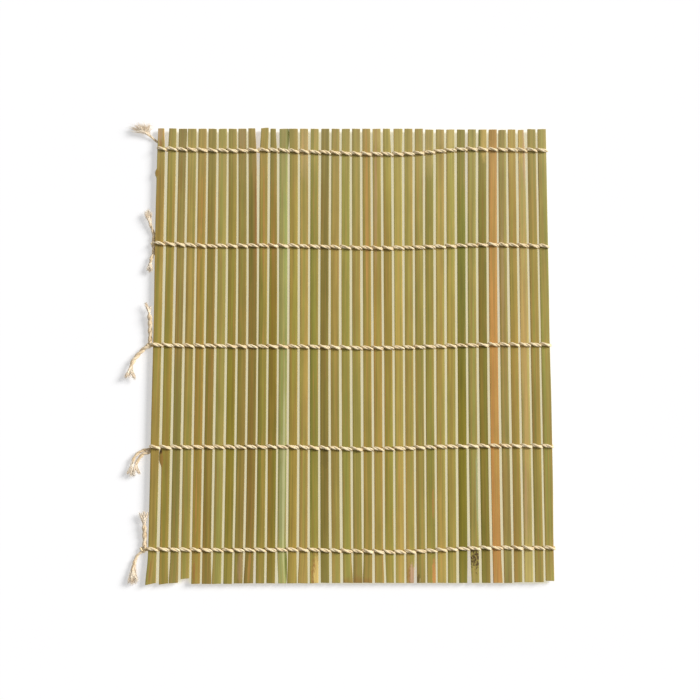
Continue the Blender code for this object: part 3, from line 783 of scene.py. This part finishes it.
def slat_piece(number):
    """One slat of split bamboo: rounded, a little uneven, with sawn ends."""
    random = np.random.default_rng(100 + number)
    node = f"slat_{number:02d}"
    rows = profile()
    near, far = slat_ends(number)
    ys = np.concatenate(((near, near + END_BEVEL), slat_sections(number), (far - END_BEVEL, far)))
    straight, left, right = slat_sides(number, ys, random)
    crown = CROWN_WANDER * (wander(ys, 30, random) - 1)
    brim = max(z for share, _, z in rows if share == 0)

    points = np.zeros((len(ys), len(rows), 3))
    lay = np.zeros((len(ys), len(rows), 2))
    for index, (share, shift, z) in enumerate(rows):
        x = left + (right - left) * share + shift
        drop = {0: z - brim, 1: brim - z}.get(share, 0.0)
        points[:, index, 0] = x
        points[:, index, 1] = ys
        points[:, index, 2] = z + (crown if 0 < share < 1 else 0)
        lay[:, index, 0] = x - straight + drop
        lay[:, index, 1] = ys - MAT_Y
    cut_ends(number, points, random)

    shape = Shape()
    count = len(rows)
    index = np.arange(len(ys) * count).reshape(len(ys), count)
    following = np.roll(index, -1, axis=1)
    quads = np.stack((index[:-1], following[:-1], following[1:], index[1:]), axis=-1)
    turned = np.roll(lay, -1, axis=1)
    uvs = np.stack((lay[:-1], turned[:-1], turned[1:], lay[1:]), axis=-2)
    kinds = np.full(quads.shape[:2], ON_WOOD)
    kinds[:, CORNER_STEPS + 1:count - CORNER_STEPS - 2] = ON_SKIN
    kinds[[0, -1]] = ON_CUT
    shape.add(points, quads.reshape(-1, 4), uvs, kinds.ravel())
    for ring, turn in ((0, -1), (len(ys) - 1, 1)):
        middle = points[ring].mean(axis=0)
        middle[1] += CUT_SWELL * turn
        fan = [(count, (i + 1) % count, i) if turn == -1 else (count, i, (i + 1) % count)
               for i in range(count)]
        flat = np.zeros((count, 3, 2))
        shape.add(np.concatenate((points[ring], middle[None])), fan, flat, ON_CUT)
    looks = (skin_material(number, SLOTS[node]), WOOD_LOOK, CUT_LOOK)
    piece = shape.make(f"bamboo_{number:02d}", looks, CREASE)
    weld(piece)
    dressed(piece, node)


def cut_ends(number, points, random):
    """Bevels both ends of a slat and makes their cuts slanted and rough."""
    for end, outer, inward in (("near", 0, 1), ("far", -1, -1)):
        plain = (random.uniform(-CUT_SLANT, CUT_SLANT), CUT_RAGGED)
        slant, ragged = CUTS[end].get(number, plain)
        ring = points[outer]
        middle = ring.mean(axis=0)
        across = (ring[:, 0] - middle[0]) / NOMINAL_WIDTH
        rough = random.uniform(0, 1, len(ring)) * ragged + abs(slant) / 2
        near_cut = np.clip(1 - np.abs(points[:, :1, 1] - middle[1]) / CUT_REACH, 0, 1)
        points[:, :, 1] += near_cut * (inward * rough + across * slant)
        for axis in (0, 2):
            points[outer, :, axis] += np.clip(middle[axis] - ring[:, axis],
                                              -END_BEVEL / 2, END_BEVEL / 2)


def weld(piece):
    """Joins a slat's caps to its sides."""
    mesh = piece.data
    bm = bmesh.new()
    bm.from_mesh(mesh)
    bmesh.ops.remove_doubles(bm, verts=bm.verts, dist=WELD * MM)
    bm.to_mesh(mesh)
    bm.free()


# ---- twine -------------------------------------------
def crowns(row):
    """(X, Y) of the top of each stitch of a row, from its node, left to right."""
    vertices = frame["nodes"][f"twine_{row}"].data.vertices
    top = max(v.co.z for v in vertices)
    found = {}
    for v in vertices:
        if v.co.z > top - LEVEL * MM:
            found.setdefault(round(v.co.x / MM, 1), []).append(v.co.y / MM)
    return np.array([(x, (min(ys) + max(ys)) / 2) for x, ys in sorted(found.items())])


def gap(row, after):
    """(X, Y) of the middle of the gap after a slat, or beside the first or last."""
    if after == 0:
        y = CROWNS[row][0, 1]
        return float(slat_edges(1, y)[0]) - FOLD_OUT, y
    if after == SLAT_COUNT:
        y = CROWNS[row][-1, 1]
        return float(slat_edges(SLAT_COUNT, y)[1]) + FAR_FOLD_OUT, y
    x = (CROWNS[row][after - 1, 0] + CROWNS[row][after, 0]) / 2
    y = float(np.interp(x, *CROWNS[row].T))
    return middle_between(after, after + 1, y), y


def stitch_points(row, slat, over, random):
    """A leg's line over or under one slat, from its left gap to just before its right."""
    (left_x, left_y), (right_x, right_y) = gap(row, slat - 1), gap(row, slat)
    side = 1 if over else -1
    start_y, stop_y = left_y + side * CROSSING_OFFSET, right_y - side * CROSSING_OFFSET
    # The first two draws only keep the later ones in their order.
    _, _, sway, rise = random.uniform(-STITCH_JITTER, STITCH_JITTER, 4)

    def at(share, z, push=0.0):
        x = left_x + (right_x - left_x) * share + push
        return x, start_y + (stop_y - start_y) * share + sway * math.sin(math.pi * share), z

    if not over:
        return [at(0, MIDDLE_Z), at(0, 1.0, 0.1), at(0.22, UNDER_LINE + 0.03),
                at(0.5, UNDER_LINE), at(0.78, UNDER_LINE + 0.03), at(1, 1.0, -0.1)]
    crown, shoulder = SLAT_TOP + OVER_RISE + rise / 2, SLAT_TOP + SHOULDER_RISE
    return [at(0, MIDDLE_Z), at(0, SLAT_TOP + 0.2, 0.08), at(0.16, shoulder),
            at(0.34, crown - 0.04), at(0.5, crown), at(0.66, crown - 0.04),
            at(0.84, shoulder), at(1, SLAT_TOP + 0.2, -0.08)]


def row_path(row, random):
    """The twine's line: over the first slat, along, round the last and back."""
    out, back = [], []
    for slat in range(1, SLAT_COUNT + 1):
        odd = slat % 2 == 1
        out += stitch_points(row, slat, odd, random)
        back += stitch_points(row, slat, not odd, random)
    fold = gap(row, SLAT_COUNT)
    turn_x, edge_y = gap(row, 0)
    edge_x = turn_x + FOLD_OUT
    centre_x, centre_y = KNOTS[row]["centre"]
    # Both legs start at the knot, in place of their first stitch's own start.
    out, back = out[1:], back[4:]
    if KNOTS[row]["under"]:
        out = [(edge_x + 1.6, edge_y + 0.4, UNDER_LINE), (edge_x + 0.4, edge_y + 0.6, UNDER_LINE),
               (turn_x, edge_y + 0.62, 1.1), (turn_x, edge_y + 0.62, 2.4)] + out
        back = [(edge_x + 1.2, edge_y - 0.5, UNDER_LINE)] + back
    else:
        knot = (edge_x + centre_x, edge_y + centre_y)
        out = [(*knot, 1.6), (knot[0] + 0.3, knot[1] + 0.2, 2.4),
               (edge_x - 0.75, edge_y + 0.45, 3.1)] + out
        back = [(*knot, 1.2), (edge_x - 0.7, edge_y - 0.35, 0.8)] + back
    return smooth_line(out + [(*fold, MIDDLE_Z)] + back[::-1], ROW_STEP)


def plies(shape, line, radius, twist_length, up, random, phase=0.0, open_up=0.0,
          kind=IN_TWINE):
    """Two plies twisted round a line; radius is theirs at each of its points."""
    reach = length_along(line)
    turn = 2 * math.pi * reach / twist_length + TWIST_SWAY * wander(reach, 9, random) + phase
    ahead, side = directions(line[None], up)
    other = np.cross(ahead, side)
    spread = PLY_SPREAD * radius + open_up
    for ply in (0, 1):
        angle = turn + ply * math.pi
        swell = radius * (1 + UNEVEN * wander(reach, 1.5, random))
        offset = (np.cos(angle)[:, None] * side[0] + np.sin(angle)[:, None] * other[0])
        shape.sweep((line + offset * spread[:, None])[None], swell[None], PLY_SIDES, up, kind)


def fuzz(shape, line, radius, count, random, kind=IN_TWINE):
    """Stray hairs that stand off a strand."""
    places = random.integers(2, len(line) - 2, count)
    start = line[places]
    ahead, _ = directions(line[None], (0.1, 0.2, 1.0))
    ahead = ahead[0][places]
    out = unit(random.normal(0, 1, (count, 3)) + (0, 0, 0.5))
    out = unit(out - np.sum(out * ahead, axis=1, keepdims=True) * ahead)
    start = start + out * radius * 1.5
    length = random.uniform(0.4, 1.0, (count, 1)) * STRAY_REACH
    middle = start + (ahead * 0.7 + out * 0.45) * length * 0.5
    end = middle + (ahead * random.uniform(-0.2, 1.0, (count, 1))
                    + unit(random.normal(0, 1, (count, 3)))) * length * 0.4
    for points in (middle, end):
        points[:, 2] = np.maximum(points[:, 2], STRAY_LOWEST)
    t = np.linspace(0, 1, STRAY_POINTS)[None, :, None]
    lines = (start[:, None] * (1 - t) ** 2 + 2 * middle[:, None] * t * (1 - t)
             + end[:, None] * t ** 2)
    radii = np.broadcast_to(np.linspace(*STRAY_TAPER, STRAY_POINTS), lines.shape[:2])
    shape.sweep(lines, radii, STRAY_SIDES, (0.3, 0.1, 1.0), kind)


def twine_piece(row):
    """One row of twine, a single two-ply length."""
    random = np.random.default_rng(200 + row)
    line = row_path(row, random)
    height = line[:, 2]
    over = np.clip((height - MIDDLE_Z) / (SLAT_TOP + OVER_RISE - 0.1 - MIDDLE_Z), 0, 1) ** 2
    under = np.clip((MIDDLE_Z - height) / (MIDDLE_Z - UNDER_LINE - 0.1), 0, 1) ** 2
    radius = (PLY_GAP_RADIUS + (PLY_RADIUS - PLY_GAP_RADIUS) * over
              + (PLY_UNDER_RADIUS - PLY_GAP_RADIUS) * under)
    radius = radius * (1 + UNEVEN * wander(length_along(line), 6, random))
    for turn in (gap(row, 0)[0], gap(row, SLAT_COUNT)[0]):
        nearness = np.exp(-((line[:, 0] - turn) / FOLD_REACH) ** 2)
        radius = radius * (1 - (1 - FOLD_SQUEEZE) * nearness)
    shape = Shape()
    plies(shape, line, radius, TWIST_LENGTH, (0, 1, 0), random)
    fuzz(shape, line[height > SLAT_TOP + STRAY_ABOVE], STRAY_RADIUS, STRAY_HAIRS, random)
    dressed(shape.make(f"cord_row_{row}", COTTON_LOOKS[:1]), f"twine_{row}")


# ---- knots and free ends -----------------------------
def knot_line(centre, size):
    """The line of an overhand knot, drawn tight."""
    t = np.linspace(0.15, 2 * math.pi + 0.05, KNOT_POINTS)
    x = (np.sin(t) + 2 * np.sin(2 * t)) / 3
    y = (np.cos(t) - 2 * np.cos(2 * t)) / 3
    z = -np.sin(3 * t)
    room = 0.5 * np.array(size) - KNOT_INSET
    return np.array(centre) + np.stack((x * room[0], y * room[1], z * room[2]), axis=1)


def free_end(shape, end, at, random, phase):
    """A twisted end that springs up a little and comes undone into its locks."""
    ply = TAIL_PLY_SHARE * end["width"]
    line = smooth_line(np.array(end["route"]) + (*at, (1.1 + PLY_SPREAD) * ply), TAIL_STEP)
    reach = length_along(line)
    under = reach[line[:, 0] > at[0] - end["width"] / 2]
    leaves = under[-1] if len(under) else 0.0
    free = np.clip((reach - leaves) / max(reach[-1] - leaves, TAIL_STEP), 0, 1)
    line[:, 2] += TAIL_RISE * free ** 1.5
    undone = np.clip(1 - (reach[-1] - reach) / end["loose"], 0, 1)
    radius = ply * (1 - TAIL_THINNING * undone ** 1.5) * (1 + TAIL_UNEVEN * wander(reach, 4, random))
    plies(shape, line, radius, TAIL_TWIST_LENGTH, (0, 0, 1), random, phase,
          open_up=0.5 * ply * undone, kind=IN_END)
    fuzz(shape, line, ply, int(reach[-1] * STRAY_HAIRS_PER_MM), random, kind=IN_FLUFF)
    for tip in end["tips"]:
        height = line[-1, 2] + random.uniform(-0.5, 0.2)
        goal = np.array((tip[0] + at[0], tip[1] + at[1], max(height, TIP_LOWEST)))
        fibres(shape, line, goal, end["loose"], YARNS, 0.6 * end["fluff"], random)
        fibres(shape, line, goal, end["loose"], HAIRS, end["fluff"], random)


def fibres(shape, line, tip, loose, strands, stray, random):
    """Yarns or hairs that leave an end's loose part one by one and run to a tip."""
    count, thickness, sides = strands
    reach = length_along(line)
    back = random.uniform(0, 1, count) ** 1.5 * loose
    index = np.clip(np.searchsorted(reach, reach[-1] - back), 1, len(line) - 1)
    flat = (1.0, 1.0, 0.4)
    span = np.linalg.norm(tip - line[-1])
    toward = (tip - line[-1]) / span
    start = line[index] + random.normal(0, ROOT_SPREAD, (count, 3)) * flat
    short = random.uniform(0, 1, (count, 1)) ** 2 * span * 0.3
    stop = tip + random.normal(0, stray, (count, 3)) * flat - toward * short
    first = start + unit(np.gradient(line, axis=0))[index] * span * 0.4
    second = stop - toward * span * 0.35 + random.normal(0, 0.8 * stray, (count, 3)) * flat
    t = np.linspace(0, 1, FIBRE_POINTS)[None, :, None]
    lines = (start[:, None] * (1 - t) ** 3 + 3 * first[:, None] * t * (1 - t) ** 2
             + 3 * second[:, None] * t ** 2 * (1 - t) + stop[:, None] * t ** 3)
    wave = random.uniform(0, 2 * math.pi, (count, 1)) + np.linspace(0, 9, FIBRE_POINTS)
    lines[:, :, 0] += 0.08 * np.sin(wave) * t[:, :, 0]
    lines[:, :, 1] += 0.06 * np.cos(wave * 1.3) * t[:, :, 0]
    lines[:, :, 2] = np.maximum(lines[:, :, 2], 1.3 * thickness)
    swell = 0.3 + 0.7 * np.sin(math.pi * np.linspace(0.25, 1, FIBRE_POINTS))
    radii = thickness * swell * random.uniform(0.7, 1.3, (count, 1))
    shape.sweep(lines, radii, sides, (0.1, 0.2, 1.0), kind=IN_FLUFF)


def knot_piece(row):
    """A knot and its two free ends."""
    random = np.random.default_rng(300 + row)
    knot = KNOTS[row]
    y = CROWNS[row][0, 1]
    edge = float(slat_edges(1, y)[0])
    size = knot["size"]
    line = knot_line((edge + knot["centre"][0], y + knot["centre"][1], size[2] / 2 + 0.05), size)
    line[:, 2] = np.maximum(line[:, 2], KNOT_LOWEST)
    shape = Shape()
    radius = np.full(len(line), KNOT_PLY_RADIUS)
    plies(shape, line, radius, KNOT_TWIST_LENGTH, (0.3, 0.2, 1.0), random)
    for phase, end in enumerate(knot["ends"]):
        free_end(shape, end, (edge, y), random, 1.3 * phase)
    dressed(shape.make(f"frayed_knot_{row}", COTTON_LOOKS), f"knot_{row}")


# ---- stage -------------------------------------------
def place_camera(middle):
    """The camera, nearly straight above and looking at the slats' middle."""
    aim = middle + Vector((*CAMERA_AIM_SHIFT, SLAT_TOP)) * MM
    tilt = math.radians(CAMERA_ELEVATION)
    camera = placed("camera", bpy.data.cameras.new("camera"))
    camera.location = aim + Vector((0, -math.cos(tilt), math.sin(tilt))) * CAMERA_DISTANCE * MM
    camera.rotation_euler = (math.pi / 2 - tilt, 0, 0)
    camera.data.lens, camera.data.sensor_width = LENS, SENSOR
    camera.data.clip_start = CLIP_START * MM
    bpy.context.scene.camera = camera


def light_scene():
    """A broad lamp from the far right, and an even sky."""
    scene = bpy.context.scene
    sun = placed("sun", bpy.data.lights.new("sun", "SUN"))
    sun.data.energy = SUN_STRENGTH
    sun.data.angle = math.radians(SUN_ANGLE)
    sun.data.color = SUN_COLOUR
    sun.rotation_euler = Vector(SUN_FROM).to_track_quat("Z", "Y").to_euler()

    scene.world = bpy.data.worlds.new("sky")
    scene.world.use_nodes = True
    sky = scene.world.node_tree.nodes["Background"]
    sky.inputs["Color"].default_value = SKY_COLOUR
    sky.inputs["Strength"].default_value = SKY_STRENGTH
    scene.view_settings.view_transform = "Standard"


def lay_floor(middle, half_width):
    """The white sheet that the mat lies on."""
    half = FLOOR_SIZE / 2
    shape = Shape()
    shape.add(((-half, -half, 0), (half, -half, 0), (half, half, 0), (-half, half, 0)),
              ((0, 1, 2, 3),), ((0, 0), (1, 0), (1, 1), (0, 1)))
    near, far = slat_ends(MIDDLE_SLAT)
    look = floor_material(middle.x / MM, half_width / MM, (far - near) / 2)
    floor = shape.make("floor", (look,))
    floor.location = middle - Vector((0, 0, FLOOR_DROP * MM))


def build_stage():
    """Camera, light and floor, round the middle of the slats."""
    left, right = slat_box(1)[0].x, slat_box(SLAT_COUNT)[1].x
    middle = Vector(((left + right) / 2, MAT_Y * MM, 0))
    place_camera(middle)
    light_scene()
    lay_floor(middle, (right - left) / 2)


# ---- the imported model's measures, and the mat --------
SLOTS = {part["node"]: part["material_slot"] for part in frame["record"]["subparts"]}
OUTLINES = {number: outline(number) for number in range(1, SLAT_COUNT + 1)}
MAT_Y = sum(slat_ends(MIDDLE_SLAT)) / 2
CROWNS = {row: crowns(row) for row in range(1, ROW_COUNT + 1)}
SLAT_TOP = slat_box(MIDDLE_SLAT)[1].z / MM
MIDDLE_Z = (slat_box(MIDDLE_SLAT)[0].z / MM + SLAT_TOP) / 2
WOOD_LOOK, CUT_LOOK = wood_material(), cut_material()
COTTON_LOOKS = [cotton_material(name, *tones) for name, tones in COTTONS.items()]

build_stage()
for number in range(1, SLAT_COUNT + 1):
    slat_piece(number)
for row in range(1, ROW_COUNT + 1):
    twine_piece(row)
    knot_piece(row)
